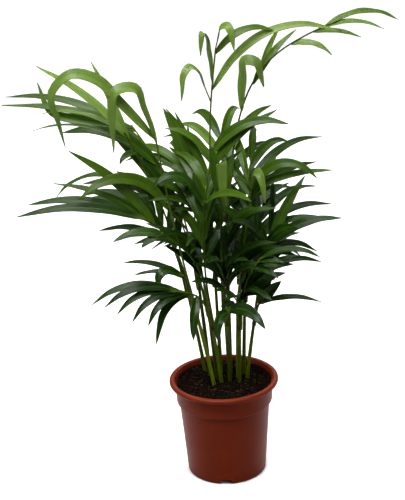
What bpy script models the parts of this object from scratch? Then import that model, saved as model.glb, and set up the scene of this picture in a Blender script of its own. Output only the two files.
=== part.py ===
"""Potted seedling palm: a 12 cm nursery pot, its compost, fourteen canes and their fronds.

Metres, +Z up. The origin is the centre of the pot's underside, and -Y is the display side.
"""
import math
import random
from collections import namedtuple

import bmesh
import bpy
from mathutils import Matrix, Quaternion, Vector
from mathutils.bvhtree import BVHTree

MM = 0.001
GAP = 0.3 * MM                  # clearance between pieces that touch

# Pot
POT_HEIGHT = 110 * MM
RIM_RADIUS = 60 * MM
RIM_HEIGHT = 5 * MM
RIM_ROUND = 1.2 * MM
COLLAR_TOP_RADIUS = 53.8 * MM
COLLAR_FOOT_RADIUS = 52.7 * MM
COLLAR_FOOT_Z = 84 * MM
SIDE_TOP_RADIUS = 49.8 * MM
BASE_RADIUS = 43.5 * MM
BASE_ROUND = 2 * MM
WALL = 1.6 * MM
POT_STEPS = 40

# Drain channels under the floor
DRAIN_COUNT = 4
NOTCH_WIDTH = 12 * MM
NOTCH_HEIGHT = 5.5 * MM
CHANNEL_START = 18 * MM
DRAIN_HOLE_RADIUS = 3 * MM
DRAIN_HOLE_AT = 30 * MM
DRAIN_HOLE_SIDES = 12

# Soil
SOIL_EDGE_Z = 103.5 * MM
SOIL_CROWN = 1.5 * MM
SOIL_SHOULDER = (0.6, 0.7)      # shares of the radius and of the crown
SOIL_STEPS = 24

# Canes
CANE_FOOT_Z = 82 * MM
CANE_FOOT_RADIUS = 2.1 * MM
CANE_TOP_RADIUS = 1.7 * MM
CANE_MID_LEAN = 0.45            # share of a cane's lean that it has taken up at mid height
CANE_SIDES = 8

# Fronds
STALK_FOOT_RADIUS = 1.05 * MM
STALK_TIP_RADIUS = 0.85 * MM
STALK_OFFSET = 1.8 * MM         # of a stalk's foot from its cane's axis
STALK_LIFT = 1.0 * MM           # of a stalk's foot above its cane's top
LONG_STALK = 200 * MM
LONG_STALK_POINTS = 8
STALK_POINTS = 5
STALK_SIDES = 6
BLADE_THICKNESS = 0.8 * MM
BLADE_BASE_WIDTH = 2 * MM
BLADE_TIP_WIDTH = 0.8 * MM
BLADE_WIDEST = 0.7              # power that puts the widest place over a third of the way along
BLADE_FULLNESS = 0.7            # power that keeps the blade wide either side of it
BLADE_PIECES = ((90, 7), (35, 4), (-1, 3))   # droop (degrees) to be passed, and the pieces then
CLEARANCE = 0.5 * MM            # round a blade or stalk while it looks for a free place

Cane = namedtuple("Cane", "foot top")
Frond = namedtuple("Frond", "name cane tip leaflets stiff", defaults=(0.5,))
Leaflet = namedtuple("Leaflet", "at heading rise droop length width turn bend")
Plume = namedtuple("Plume", "cane heading lean length reach rise")

# Feet (x, y) at the soil and tops (x, y, z), in millimetres
CANES = (
    Cane((-18, 20), (-38, 32, 200)),
    Cane((-6, -15), (-28, -16, 205)),
    Cane((-6, 4), (-14, 2, 190)),
    Cane((7, 6), (4, 4, 185)),
    Cane((15, 6), (18, 2, 195)),
    Cane((21, 14), (26, 14, 200)),
    Cane((23, 4), (36, -4, 180)),
    Cane((-14, 11), (-24, 16, 215)),
    Cane((-3, 15), (-6, 22, 215)),
    Cane((7, 17), (8, 27, 225)),
    Cane((0, -5), (-10, -13, 180)),
    Cane((7, -3), (7, -14, 185)),
    Cane((16, 18), (21, 30, 215)),
    Cane((17, -3), (20, -14, 180)),
)


def leaf(at, heading, rise, droop, length, width=11, turn=50, bend=(0.2, 1.0)):
    """A leaflet: at is its place along the stalk, heading runs anticlockwise from +X seen from
    above, rise is its slope at the base, droop what it bends down by between the two places
    in bend, and turn how far its upper face turns to the display side. Degrees, millimetres."""
    return Leaflet(at, heading, rise, droop, length, width, turn, bend)


def between(ends, share):
    return ends[0] + (ends[1] - ends[0]) * share


def fan(count, **ends):
    """Leaflets spread evenly between two sets of leaflet values."""
    leaflets = []
    for index in range(count):
        share = index / (count - 1)
        values = {}
        for key, value in ends.items():
            values[key] = between(value, share) if isinstance(value, tuple) else value
        leaflets.append(leaf(**values))
    return leaflets


# The fronds of the display side, each with the place in millimetres where its stalk ends
SHOWN_FRONDS = [
    Frond("frond_top", 8, (6, -10, 473), [
        leaf(0.68, 215, 68, 150, 85, 10, 30, (0.45, 0.7)),
        leaf(0.80, 240, 82, 165, 80, 10, 30, (0.6, 0.8)),
        leaf(0.98, 320, 70, 150, 60, 10, 35, (0.4, 0.7)),
        leaf(0.97, 15, 45, 75, 72, 8, 60),
        leaf(0.76, 2, 54, 80, 158, 9, 60),
    ], 0.6),
    Frond("frond_top_right", 9, (120, 35, 486), [
        leaf(0.40, 345, 85, 160, 92, 15, 55, (0.5, 0.75)),
        leaf(0.98, 10, 25, 60, 82, 7, 40),
        leaf(0.96, 0, 15, 45, 66, 7, 40),
        leaf(0.92, 350, 5, 30, 50, 7, 40),
        leaf(0.80, 345, 10, 60, 46, 8, 45),
        leaf(0.52, 15, 58, 25, 72, 8, 60),
        leaf(0.58, 60, 50, 20, 60, 7, 60),
    ], 0.75),
    Frond("frond_centre_folded", 3, (8, -38, 333), [
        leaf(0.97, 280, 80, 160, 85, 12, 30, (0.35, 0.5)),
        leaf(0.94, 150, 80, 5, 55, 13, 70),
        leaf(0.90, 30, 75, 8, 50, 12, 70),
    ]),
    Frond("frond_left_arch", 1, (-55, -50, 395), [
        leaf(0.98, 190, 50, 150, 190, 12, 50, (0.42, 0.78)),
        leaf(0.95, 200, 72, 160, 140, 14, 35, (0.36, 0.66)),
    ]),
    Frond("frond_left_long", 0, (-93, 10, 386), [
        leaf(0.96, 200, 52, 22, 122, 11, 55),
        leaf(0.90, 180, 30, 50, 112, 7, 20),
        leaf(0.98, 170, 32, 45, 95, 6, 20),
        leaf(0.93, 150, 65, 8, 92, 8, 60),
        leaf(0.85, 220, 10, 80, 25, 7, 60),
    ]),
    Frond("frond_left_fan", 7, (-90, 50, 384), [
        leaf(0.90, 176, 18, -80, 135, 12, 60, (0.65, 1.0)),
        leaf(0.95, 168, 28, 36, 155, 9, 50),
        leaf(0.98, 182, 20, 20, 143, 9, 50),
        leaf(0.75, 160, 40, 20, 110, 12, 60),
        leaf(0.70, 180, 45, 60, 115, 14, 65),
        leaf(0.60, 165, 50, 20, 100, 13, 65),
    ]),
    Frond("frond_left_broad", 2, (-42, 30, 285), [
        leaf(0.97, 168, 55, 30, 110, 15, 70),
        leaf(0.93, 175, 75, 15, 85, 14, 65),
    ]),
    Frond("frond_left_arcs", 7, (-78, 10, 325), [
        leaf(0.98, 185, 30, 90, 112, 8, 30),
        leaf(0.70, 205, 55, 100, 120, 15, 55),
        leaf(0.92, 175, 25, 40, 75, 9, 45),
        leaf(0.80, 190, 50, 25, 60, 12, 60),
    ]),
    Frond("frond_left_low", 0, (-75, -15, 300), [
        leaf(0.80, 195, 56, 24, 126, 12, 65),
        leaf(0.88, 175, 38, 32, 112, 9, 40),
        leaf(0.95, 182, 25, 38, 128, 11, 45),
        leaf(0.98, 190, 18, 32, 136, 11, 50),
    ]),
    Frond("frond_left_dark", 2, (-56, -30, 288), [
        leaf(0.94, 195, 20, 50, 58, 12, 45),
        leaf(0.98, 210, -5, 40, 28, 9, 45),
    ]),
    Frond("frond_low_left_small", 1, (-36, -28, 240), [
        leaf(0.98, 180, 30, 40, 68, 7, 45),
        leaf(0.94, 190, 22, 40, 56, 6, 40),
        leaf(0.88, 215, 35, 120, 50, 13, 35, (0.4, 0.8)),
    ]),
    Frond("frond_low_left", 10, (-43, -47, 230),
        fan(5, at=(0.97, 0.78), heading=(184, 222), rise=(28, 8), droop=(62, 75),
            length=(95, 62), width=9.5, turn=45)
        + [leaf(0.70, 215, 0, 75, 72, 9, 40, (0.1, 0.7)),
           leaf(0.55, 260, -40, 50, 48, 11, 25)]),
    Frond("frond_low_centre", 11, (10, -48, 206), [
        leaf(0.97, 250, 10, 110, 50, 11, 35, (0.3, 0.8)),
        leaf(0.92, 315, 25, 75, 60, 14, 50),
    ]),
    Frond("frond_low_right", 6, (42, -14, 202), [
        leaf(0.96, 350, 20, 40, 68, 7, 40),
        leaf(0.92, 10, 50, 15, 34, 13, 65),
        leaf(0.85, 30, 65, 10, 40, 10, 60),
    ]),
    Frond("frond_right_thin", 13, (45, -40, 262), [
        leaf(0.98, 350, 28, 60, 66, 8, 35),
        leaf(0.94, 335, 15, 30, 30, 9, 40),
        leaf(0.80, 320, 10, 40, 34, 9, 35),
    ]),
    Frond("frond_right_fan", 5, (56, 12, 262),
        fan(7, at=(0.82, 0.98), heading=(350, 30), rise=(42, 62), droop=(45, 15),
            length=(95, 80), width=11.5, turn=62)
        + [leaf(0.65, 80, 85, 5, 80, 14, 70)]),
    Frond("frond_right_high", 4, (38, 15, 322),
        [leaf(0.93, 345, 62, 115, 92, 12, 60),
         leaf(0.85, 300, 75, 150, 80, 11, 45, (0.4, 0.7))]
        + fan(4, at=(0.88, 0.98), heading=(20, 352), rise=(62, 24), droop=(15, 25),
              length=(55, 88), width=(12, 8), turn=55)),
    Frond("frond_crossing", 10, (-10, -38, 325), [
        leaf(0.97, 330, 32, 45, 85, 10, 40),
        leaf(0.94, 200, 60, 110, 78, 11, 45, (0.4, 0.9)),
        leaf(0.88, 170, 80, 5, 45, 13, 70),
    ]),
    Frond("frond_centre_tall", 2, (-3, 20, 365), [
        leaf(0.95, 355, 50, 72, 95, 12, 60),
        leaf(0.84, 5, 52, 30, 98, 10, 60),
        leaf(0.90, 190, 66, 62, 64, 9, 55),
        leaf(0.82, 165, 62, 10, 82, 9, 60),
        leaf(0.76, 150, 66, 5, 82, 9, 60),
    ]),
    Frond("frond_upright_left", 7, (-26, 50, 302), [
        leaf(0.97, 150, 80, 25, 105, 17, 70),
        leaf(0.93, 110, 85, 10, 85, 13, 70),
    ]),
]

# The fronds of the back and the dense middle
PLUMES = (
    Plume(12, 70, 20, 130, 90, 46), Plume(9, 95, 28, 150, 95, 42), Plume(8, 130, 24, 130, 90, 44),
    Plume(0, 140, 30, 100, 90, 40), Plume(5, 50, 22, 90, 80, 45), Plume(12, 90, 35, 90, 80, 38),
    Plume(10, 90, 4, 150, 75, 62), Plume(2, 240, 12, 75, 70, 58),
    Plume(3, 300, 8, 90, 75, 62), Plume(4, 20, 10, 50, 55, 60), Plume(13, 320, 14, 50, 45, 60),
    Plume(11, 270, 12, 60, 60, 60), Plume(8, 200, 8, 100, 75, 62), Plume(6, 60, 14, 60, 50, 62),
    Plume(12, 75, 60, 38, 80, 14), Plume(9, 110, 62, 40, 80, 12),
    Plume(5, 70, 45, 38, 70, 24), Plume(13, 290, 20, 34, 45, 50),
    Plume(9, 90, 6, 60, 55, 50), Plume(3, 100, 3, 70, 50, 55),
)
PLUME_LEAFLETS = 8
PLUME_PLACES = (0.4, 0.97)      # of the first and the last leaflet along the stalk
PLUME_SPREAD = (62, 20)         # their angles from the frond's heading
PLUME_DROOP = (45, 75)
PLUME_LENGTHS = (0.8, 1.2)      # of the end leaflets and the middle one, against the reach
PLUME_WIDTH = 10.5
PLUME_TURN = 38
PLUME_SEED = 7
SPREAD_JITTER = 8
LENGTH_JITTER = 6
RISE_JITTER = 9
DROOP_JITTER = 12

# Small turns (heading, rise) tried in order, until a blade has a free place
LEAFLET_TURNS = [(0, 0)] + [(turn * side, rise * side) for turn in (7, 14, 22, 30)
                           for side in (1, -1) for rise in (0, 7, -7)]
# Places round the cane's top tried for a stalk's foot, in degrees from the way it leans, and
# sideways pulls on the stalk (millimetres, direction in degrees) tried after them
STALK_FEET = (0, 90, -90, 180, 45, -45, 135, -135)
STALK_PULLS = [(0, 0)] + [(reach, angle) for reach in (6, 12, 20, 30)
                          for angle in range(0, 360, 45)]


def plume_fronds():
    """Fronds that follow a rule: leaflets on alternate sides, longest in the middle."""
    chance = random.Random(PLUME_SEED)
    fronds = []
    for number, plume in enumerate(PLUMES):
        heading, lean = math.radians(plume.heading), math.radians(plume.lean)
        out = Vector((math.cos(heading), math.sin(heading), 0))
        tip = Vector(CANES[plume.cane].top)
        tip += plume.length * (math.sin(lean) * out + math.cos(lean) * Vector((0, 0, 1)))
        leaflets = []
        for index in range(PLUME_LEAFLETS):
            share = index / (PLUME_LEAFLETS - 1)
            side = 1 if index % 2 else -1
            spread = between(PLUME_SPREAD, share) + chance.uniform(-SPREAD_JITTER, SPREAD_JITTER)
            size = plume.reach * between(PLUME_LENGTHS, math.sin(math.pi * share))
            size += chance.uniform(-LENGTH_JITTER, LENGTH_JITTER)
            rise = plume.rise + chance.uniform(-RISE_JITTER, RISE_JITTER)
            droop = between(PLUME_DROOP, share) + chance.uniform(-DROOP_JITTER, DROOP_JITTER)
            leaflets.append(leaf(between(PLUME_PLACES, share), plume.heading + side * spread,
                                 rise, droop, size, PLUME_WIDTH, PLUME_TURN))
        fronds.append(Frond(f"frond_inner_{number + 1:02d}", plume.cane, tuple(tip), leaflets))
    return fronds


def clear_scene():
    for item in list(bpy.data.objects):
        bpy.data.objects.remove(item, do_unlink=True)


def make_collection(name):
    collection = bpy.data.collections.new(name)
    bpy.context.scene.collection.children.link(collection)
    return collection


def make_material(name, colour, roughness):
    material = bpy.data.materials.new(name)
    material.use_nodes = True
    shader = material.node_tree.nodes["Principled BSDF"]
    shader.inputs["Base Color"].default_value = (*colour, 1)
    shader.inputs["Roughness"].default_value = roughness
    shader.inputs["Metallic"].default_value = 0
    return material


def make_object(name, mesh, collection, material=None):
    item = bpy.data.objects.new(name, mesh)
    collection.objects.link(item)
    if material:
        mesh.materials.clear()
        mesh.materials.append(material)
    return item


def as_cutter(item):
    item.hide_render = True
    item.display_type = 'WIRE'
    return item


def boolean(item, other, operation):
    modifier = item.modifiers.new(operation.lower(), 'BOOLEAN')
    modifier.operation = operation
    modifier.solver = 'EXACT'
    modifier.object = other


def evaluated_mesh(item):
    """The item's shape as a mesh in world space, with loose caps welded on."""
    bpy.context.view_layer.update()
    graph = bpy.context.evaluated_depsgraph_get()
    mesh = bpy.data.meshes.new_from_object(item.evaluated_get(graph))
    mesh.transform(item.matrix_world)
    work = bmesh.new()
    work.from_mesh(mesh)
    bmesh.ops.remove_doubles(work, verts=work.verts, dist=0.001 * MM)
    bmesh.ops.recalc_face_normals(work, faces=work.faces)
    work.to_mesh(mesh)
    work.free()
    return mesh


def turned(name, profile, steps, collection, material=None):
    """A profile of (radius, z) points, turned round the Z axis."""
    mesh = bpy.data.meshes.new(name)
    points = [(radius, 0, z) for radius, z in profile]
    mesh.from_pydata(points, [(i, i + 1) for i in range(len(points) - 1)], [])
    item = make_object(name, mesh, collection, material)
    screw = item.modifiers.new("turn", 'SCREW')
    screw.axis = 'Z'
    screw.steps = steps
    screw.render_steps = steps
    screw.use_merge_vertices = True
    screw.merge_threshold = 0.00001
    return item


def box(name, low, high, angle, collection):
    bpy.ops.mesh.primitive_cube_add(size=1)
    item = bpy.context.object
    for owner in list(item.users_collection):
        owner.objects.unlink(item)
    collection.objects.link(item)
    item.name = name
    size = Vector(high) - Vector(low)
    middle = (Vector(high) + Vector(low)) / 2
    item.data.transform(Matrix.Translation(middle) @ Matrix.Diagonal((*size, 1)))
    item.rotation_euler.z = angle
    return as_cutter(item)


def upright_cylinder(name, radius, low, high, place, collection):
    bpy.ops.mesh.primitive_cylinder_add(vertices=DRAIN_HOLE_SIDES, radius=radius, depth=high - low,
                                        location=(*place, (low + high) / 2))
    item = bpy.context.object
    for owner in list(item.users_collection):
        owner.objects.unlink(item)
    collection.objects.link(item)
    item.name = name
    return as_cutter(item)


def tube_mesh(points, radii, sides):
    """A closed round tube through the points, its radius changing along it."""
    curve = bpy.data.curves.new("tube", 'CURVE')
    curve.dimensions = '3D'
    curve.bevel_depth = 1
    curve.bevel_resolution = (sides - 4) // 2
    curve.use_fill_caps = True
    spline = curve.splines.new('POLY')
    spline.points.add(len(points) - 1)
    for knot, point, radius in zip(spline.points, points, radii):
        knot.co = (*point, 1)
        knot.radius = radius
    item = bpy.data.objects.new("tube", curve)
    bpy.context.scene.collection.objects.link(item)
    mesh = evaluated_mesh(item)
    bpy.data.objects.remove(item)
    return mesh


def side_radius(z):
    """Outer radius of the tapered side below the collar."""
    return BASE_RADIUS + (SIDE_TOP_RADIUS - BASE_RADIUS) * z / COLLAR_FOOT_Z


def drain_angles():
    """The drains lie every quarter turn, one of them facing the display side."""
    return [math.tau * index / DRAIN_COUNT - math.pi / 2 for index in range(DRAIN_COUNT)]


def make_pot(parts, cutters, material):
    rim_foot = POT_HEIGHT - RIM_HEIGHT
    profile = [
        (0, WALL),
        (BASE_RADIUS - WALL - BASE_ROUND, WALL),
        (side_radius(WALL + BASE_ROUND) - WALL, WALL + BASE_ROUND),
        (SIDE_TOP_RADIUS - WALL, COLLAR_FOOT_Z),
        (COLLAR_FOOT_RADIUS - WALL, COLLAR_FOOT_Z + WALL),
        (COLLAR_TOP_RADIUS - WALL, rim_foot),
        (COLLAR_TOP_RADIUS + RIM_ROUND - WALL, POT_HEIGHT - RIM_ROUND),
        (COLLAR_TOP_RADIUS + 2 * RIM_ROUND - WALL, POT_HEIGHT),
        (RIM_RADIUS - RIM_ROUND, POT_HEIGHT),
        (RIM_RADIUS, POT_HEIGHT - RIM_ROUND),
        (RIM_RADIUS, rim_foot + RIM_ROUND),
        (RIM_RADIUS - RIM_ROUND, rim_foot),
        (COLLAR_TOP_RADIUS, rim_foot - RIM_ROUND),
        (COLLAR_FOOT_RADIUS, COLLAR_FOOT_Z),
        (SIDE_TOP_RADIUS, COLLAR_FOOT_Z - RIM_ROUND),
        (side_radius(BASE_ROUND), BASE_ROUND),
        (BASE_RADIUS - BASE_ROUND, 0),
        (0, 0),
    ]
    pot = turned("pot", profile, POT_STEPS, parts, material)
    for number, angle in enumerate(drain_angles()):
        half = NOTCH_WIDTH / 2
        roof = box(f"drain_roof_{number}", (CHANNEL_START - WALL, -half - WALL, WALL / 2),
                   (BASE_RADIUS - WALL / 2, half + WALL, NOTCH_HEIGHT + WALL), angle, cutters)
        boolean(pot, roof, 'UNION')
        channel = box(f"drain_channel_{number}", (CHANNEL_START, -half, -WALL),
                      (BASE_RADIUS + 2 * WALL, half, NOTCH_HEIGHT), angle, cutters)
        boolean(pot, channel, 'DIFFERENCE')
        place = (DRAIN_HOLE_AT * math.cos(angle), DRAIN_HOLE_AT * math.sin(angle))
        hole = upright_cylinder(f"drain_hole_{number}", DRAIN_HOLE_RADIUS, NOTCH_HEIGHT - WALL,
                                NOTCH_HEIGHT + 2 * WALL, place, cutters)
        boolean(pot, hole, 'DIFFERENCE')
    return pot


def cane_points(cane):
    """A cane stands upright at its foot and leans more towards its top."""
    foot = Vector((cane.foot[0] * MM, cane.foot[1] * MM, CANE_FOOT_Z))
    top = Vector(cane.top) * MM
    rise = Vector((0, 0, top.z - foot.z))
    middle = foot + rise / 2 + (top - foot - rise) * CANE_MID_LEAN
    return [foot, middle, top]


def cane_radii(extra=0.0):
    middle = (CANE_FOOT_RADIUS + CANE_TOP_RADIUS) / 2
    return [CANE_FOOT_RADIUS + extra, middle + extra, CANE_TOP_RADIUS + extra]


def make_canes(parts, material):
    canes = []
    for number, cane in enumerate(CANES):
        mesh = tube_mesh(cane_points(cane), cane_radii(), CANE_SIDES)
        canes.append(make_object(f"cane_{number + 1:02d}", mesh, parts, material))
    return canes


def make_soil(parts, cutters, material):
    floor = WALL + GAP
    edge = COLLAR_TOP_RADIUS - WALL - GAP
    profile = [
        (0, SOIL_EDGE_Z + SOIL_CROWN),
        (edge * SOIL_SHOULDER[0], SOIL_EDGE_Z + SOIL_CROWN * SOIL_SHOULDER[1]),
        (edge - GAP, SOIL_EDGE_Z),
        (COLLAR_FOOT_RADIUS - WALL - 2 * GAP, COLLAR_FOOT_Z + WALL + 2 * GAP),
        (SIDE_TOP_RADIUS - WALL - 2 * GAP, COLLAR_FOOT_Z - GAP),
        (BASE_RADIUS - WALL - BASE_ROUND - GAP, floor),
        (0, floor),
    ]
    soil = turned("soil", profile, SOIL_STEPS, parts, material)
    for number, angle in enumerate(drain_angles()):
        half = NOTCH_WIDTH / 2 + WALL + GAP
        room = box(f"soil_room_{number}", (CHANNEL_START - WALL - GAP, -half, 0),
                   (BASE_RADIUS + WALL, half, NOTCH_HEIGHT + WALL + GAP), angle, cutters)
        boolean(soil, room, 'DIFFERENCE')
    for number, cane in enumerate(CANES):
        points = cane_points(cane)
        points[0] = points[0] - Vector((0, 0, GAP))
        mesh = tube_mesh(points, cane_radii(GAP), CANE_SIDES)
        pocket = as_cutter(make_object(f"cane_pocket_{number}", mesh, cutters))
        boolean(soil, pocket, 'DIFFERENCE')
    return soil


def stalk_points(frond, foot, pull):
    """A stalk leaves its cane along the cane and arches over to its end."""
    cane = CANES[frond.cane]
    points = cane_points(cane)
    top = points[2]
    along = (points[2] - points[1]).normalized()
    end = Vector(frond.tip) * MM
    away = end - top
    sideways = (away - away.dot(along) * along).normalized()
    sideways.rotate(Quaternion(along, math.radians(foot)))
    start = top + sideways * STALK_OFFSET + along * STALK_LIFT
    first = start + along * (end - start).length * frond.stiff
    reach, angle = pull[0] * MM, math.radians(pull[1])
    first += reach * Vector((math.cos(angle), math.sin(angle), 0))
    second = first.lerp(end, 1 / 3)
    count = LONG_STALK_POINTS if (end - start).length > LONG_STALK else STALK_POINTS
    result = []
    for index in range(count):
        share = index / (count - 1)
        left = 1 - share
        result.append(start * left ** 3 + first * 3 * left ** 2 * share
                      + second * 3 * left * share ** 2 + end * share ** 3)
    return result


def along_line(points, share):
    place = share * (len(points) - 1)
    index = min(int(place), len(points) - 2)
    return points[index].lerp(points[index + 1], place - index)


def blade_width(share, width):
    """Narrow at the base, widest before its middle, drawn out to a point."""
    swell = math.sin(math.pi * min(1.0, share ** BLADE_WIDEST)) ** BLADE_FULLNESS
    ends = BLADE_BASE_WIDTH + (BLADE_TIP_WIDTH - BLADE_BASE_WIDTH) * share
    return max(ends, width * swell)


def blade_segments(leaflet):
    """More of them where the blade bends more."""
    return next(pieces for droop, pieces in BLADE_PIECES if abs(leaflet.droop) > droop)


def blade_line(base, leaflet, turn, segments):
    """Points and slopes along a leaflet's middle, in the upright plane of its heading."""
    heading = math.radians(leaflet.heading + turn[0])
    out = Vector((math.cos(heading), math.sin(heading), 0))
    step = leaflet.length * MM / segments
    point = Vector(base)
    line = [(point.copy(), out, leaflet.rise + turn[1])]
    for index in range(segments):
        share = (index + 0.5) / segments
        bent = (share - leaflet.bend[0]) / (leaflet.bend[1] - leaflet.bend[0])
        slope = math.radians(leaflet.rise + turn[1]
                             - leaflet.droop * min(1.0, max(0.0, bent)))
        point = point + step * (math.cos(slope) * out + Vector((0, 0, math.sin(slope))))
        line.append((point.copy(), out, math.degrees(slope)))
    return line


def blade_mesh(base, leaflet, turn, extra=0.0):
    """A flat grid laid along the leaflet's line, thickened to a closed blade."""
    segments = blade_segments(leaflet)
    line = blade_line(base, leaflet, turn, segments)
    work = bmesh.new()
    bmesh.ops.create_grid(work, x_segments=segments, y_segments=1, size=0.5)
    facing = math.radians(leaflet.turn)
    for vert in work.verts:
        share = vert.co.x + 0.5
        point, out, slope = line[round(share * segments)]
        angle = math.radians(slope)
        tangent = math.cos(angle) * out + Vector((0, 0, math.sin(angle)))
        up = Vector((0, 0, math.cos(angle))) - math.sin(angle) * out
        front = Vector((0, -1, 0))
        front = front - front.dot(tangent) * tangent - front.dot(up) * up
        across = front.normalized() if front.length > 0.05 else tangent.cross(up)
        normal = math.cos(facing) * up + math.sin(facing) * across
        side = tangent.cross(normal).normalized()
        half = blade_width(share, leaflet.width * MM) / 2 + extra
        vert.co = point + side * (half if vert.co.y > 0 else -half)
    bmesh.ops.recalc_face_normals(work, faces=work.faces)
    mesh = bpy.data.meshes.new("blade")
    work.to_mesh(mesh)
    work.free()
    item = bpy.data.objects.new("blade", mesh)
    bpy.context.scene.collection.objects.link(item)
    solid = item.modifiers.new("thickness", 'SOLIDIFY')
    solid.thickness = BLADE_THICKNESS + 2 * extra
    solid.offset = 0
    result = evaluated_mesh(item)
    bpy.data.objects.remove(item)
    return result


def tree_of(mesh):
    return BVHTree.FromPolygons([v.co.copy() for v in mesh.vertices],
                                [tuple(p.vertices) for p in mesh.polygons])


def is_clear(mesh, trees):
    tree = tree_of(mesh)
    return not any(tree.overlap(other) for other in trees)


def placed_stalk(frond, trees):
    """The first foot and pull of the stalk that clear everything placed before it."""
    for foot, pull in ((foot, pull) for pull in STALK_PULLS for foot in STALK_FEET):
        points = stalk_points(frond, foot, pull)
        steps = len(points) - 1
        radii = [STALK_FOOT_RADIUS + (STALK_TIP_RADIUS - STALK_FOOT_RADIUS) * i / steps
                 for i in range(steps + 1)]
        wide = [radius + CLEARANCE / 2 for radius in radii]
        if is_clear(tube_mesh(points, wide, STALK_SIDES), trees):
            return points, tube_mesh(points, radii, STALK_SIDES)
    return None, None


def placed_blade(base, leaflet, trees):
    """The first small turn of a leaflet that clears everything placed before it."""
    for turn in LEAFLET_TURNS:
        if is_clear(blade_mesh(base, leaflet, turn, CLEARANCE), trees):
            return blade_mesh(base, leaflet, turn)
    return None


def make_frond(frond, trees, parts, cutters, material):
    points, stalk = placed_stalk(frond, trees)
    if not points:
        print("no room for the stalk of", frond.name)
        return None
    item = make_object(frond.name, stalk, parts, material)
    for number, leaflet in enumerate(frond.leaflets):
        base = along_line(points, leaflet.at)
        blade = placed_blade(base, leaflet, trees)
        if not blade:
            print("no room for leaflet", number, "of", frond.name)
            continue
        tool = as_cutter(make_object(f"{frond.name}_blade_{number}", blade, cutters))
        boolean(item, tool, 'UNION')
    return item


def main():
    clear_scene()
    parts = make_collection("potted_palm")
    cutters = make_collection("cutters")
    terracotta = make_material("terracotta_plastic", (0.13, 0.028, 0.012), 0.5)
    compost = make_material("compost", (0.008, 0.005, 0.003), 0.95)
    sheath = make_material("cane_sheath", (0.16, 0.17, 0.035), 0.5)
    leaf_green = make_material("leaf_green", (0.09, 0.16, 0.03), 0.4)
    pot = make_pot(parts, cutters, terracotta)
    soil = make_soil(parts, cutters, compost)
    canes = make_canes(parts, sheath)
    trees = [tree_of(evaluated_mesh(item)) for item in [pot, soil] + canes]
    for frond in SHOWN_FRONDS + plume_fronds():
        item = make_frond(frond, trees, parts, cutters, leaf_green)
        if item:
            trees.append(tree_of(evaluated_mesh(item)))


main()
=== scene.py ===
"""Looks of the potted seedling palm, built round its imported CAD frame. Metres, +Z up.

The camera looks along +Y at the display side, so -Y is the front and +X the right.
"""
import math
import random
from collections import namedtuple

import bmesh
import bpy
from mathutils import Matrix, Quaternion, Vector, noise
from mathutils.bvhtree import BVHTree


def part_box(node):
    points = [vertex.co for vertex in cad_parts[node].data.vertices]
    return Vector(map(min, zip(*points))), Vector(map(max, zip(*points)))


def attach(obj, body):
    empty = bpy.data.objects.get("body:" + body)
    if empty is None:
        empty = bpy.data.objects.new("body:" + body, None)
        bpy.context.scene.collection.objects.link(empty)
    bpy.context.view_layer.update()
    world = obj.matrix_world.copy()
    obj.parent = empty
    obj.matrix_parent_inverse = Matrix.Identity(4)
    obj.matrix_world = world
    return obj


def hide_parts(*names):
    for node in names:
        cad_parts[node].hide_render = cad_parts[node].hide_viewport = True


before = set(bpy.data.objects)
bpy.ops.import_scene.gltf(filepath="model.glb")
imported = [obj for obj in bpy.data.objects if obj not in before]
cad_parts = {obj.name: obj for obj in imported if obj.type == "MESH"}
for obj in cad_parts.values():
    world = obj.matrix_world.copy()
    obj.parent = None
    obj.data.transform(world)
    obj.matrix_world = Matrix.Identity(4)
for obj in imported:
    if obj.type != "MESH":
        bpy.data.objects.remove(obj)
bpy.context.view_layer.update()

MM = 0.001
SEED = 21

# Sizes that repeat the CAD source
RIM_HEIGHT = 5 * MM
COLLAR_TOP_RADIUS = 53.8 * MM
COLLAR_FOOT_RADIUS = 52.7 * MM
COLLAR_FOOT_Z = 84 * MM
SIDE_TOP_RADIUS = 49.8 * MM
BASE_RADIUS = 43.5 * MM
WALL = 1.6 * MM
NOTCH_WIDTH = 12 * MM
NOTCH_HEIGHT = 5.5 * MM
CHANNEL_START = 18 * MM
SOIL_EDGE_Z = 103.5 * MM
SOIL_RADIUS = 52.4 * MM
CANE_FOOT_Z = 82 * MM
CANE_FOOT_RADIUS = 2.1 * MM
CANE_TOP_RADIUS = 1.7 * MM
CANE_MID_LEAN = 0.45            # share of a cane's lean that it has taken up at mid height
STALK_FOOT_RADIUS = 1.05 * MM
STALK_TIP_RADIUS = 0.85 * MM
STALK_OFFSET = 1.8 * MM         # of a stalk's foot from its cane's axis
STALK_LIFT = 1.0 * MM           # of a stalk's foot above its cane's top
LONG_STALK = 200 * MM
LONG_STALK_POINTS = 8
STALK_POINTS = 5
BLADE_BASE_WIDTH = 2 * MM
BLADE_TIP_WIDTH = 0.8 * MM
BLADE_WIDEST = 0.7              # power that puts the widest place over a third of the way along
BLADE_FULLNESS = 0.7            # power that keeps the blade wide either side of it
BLADE_PIECES = ((90, 7), (35, 4), (-1, 3))   # droop (degrees) to be passed, and the pieces then
CAD_BLADE_THICKNESS = 0.8 * MM
HEXAGON_FLAT = math.cos(math.pi / 6)    # a CAD stalk's flats, against its radius
FIT = 0.01 * MM                 # of a leaflet's middle to the middle of its CAD blade

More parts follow.
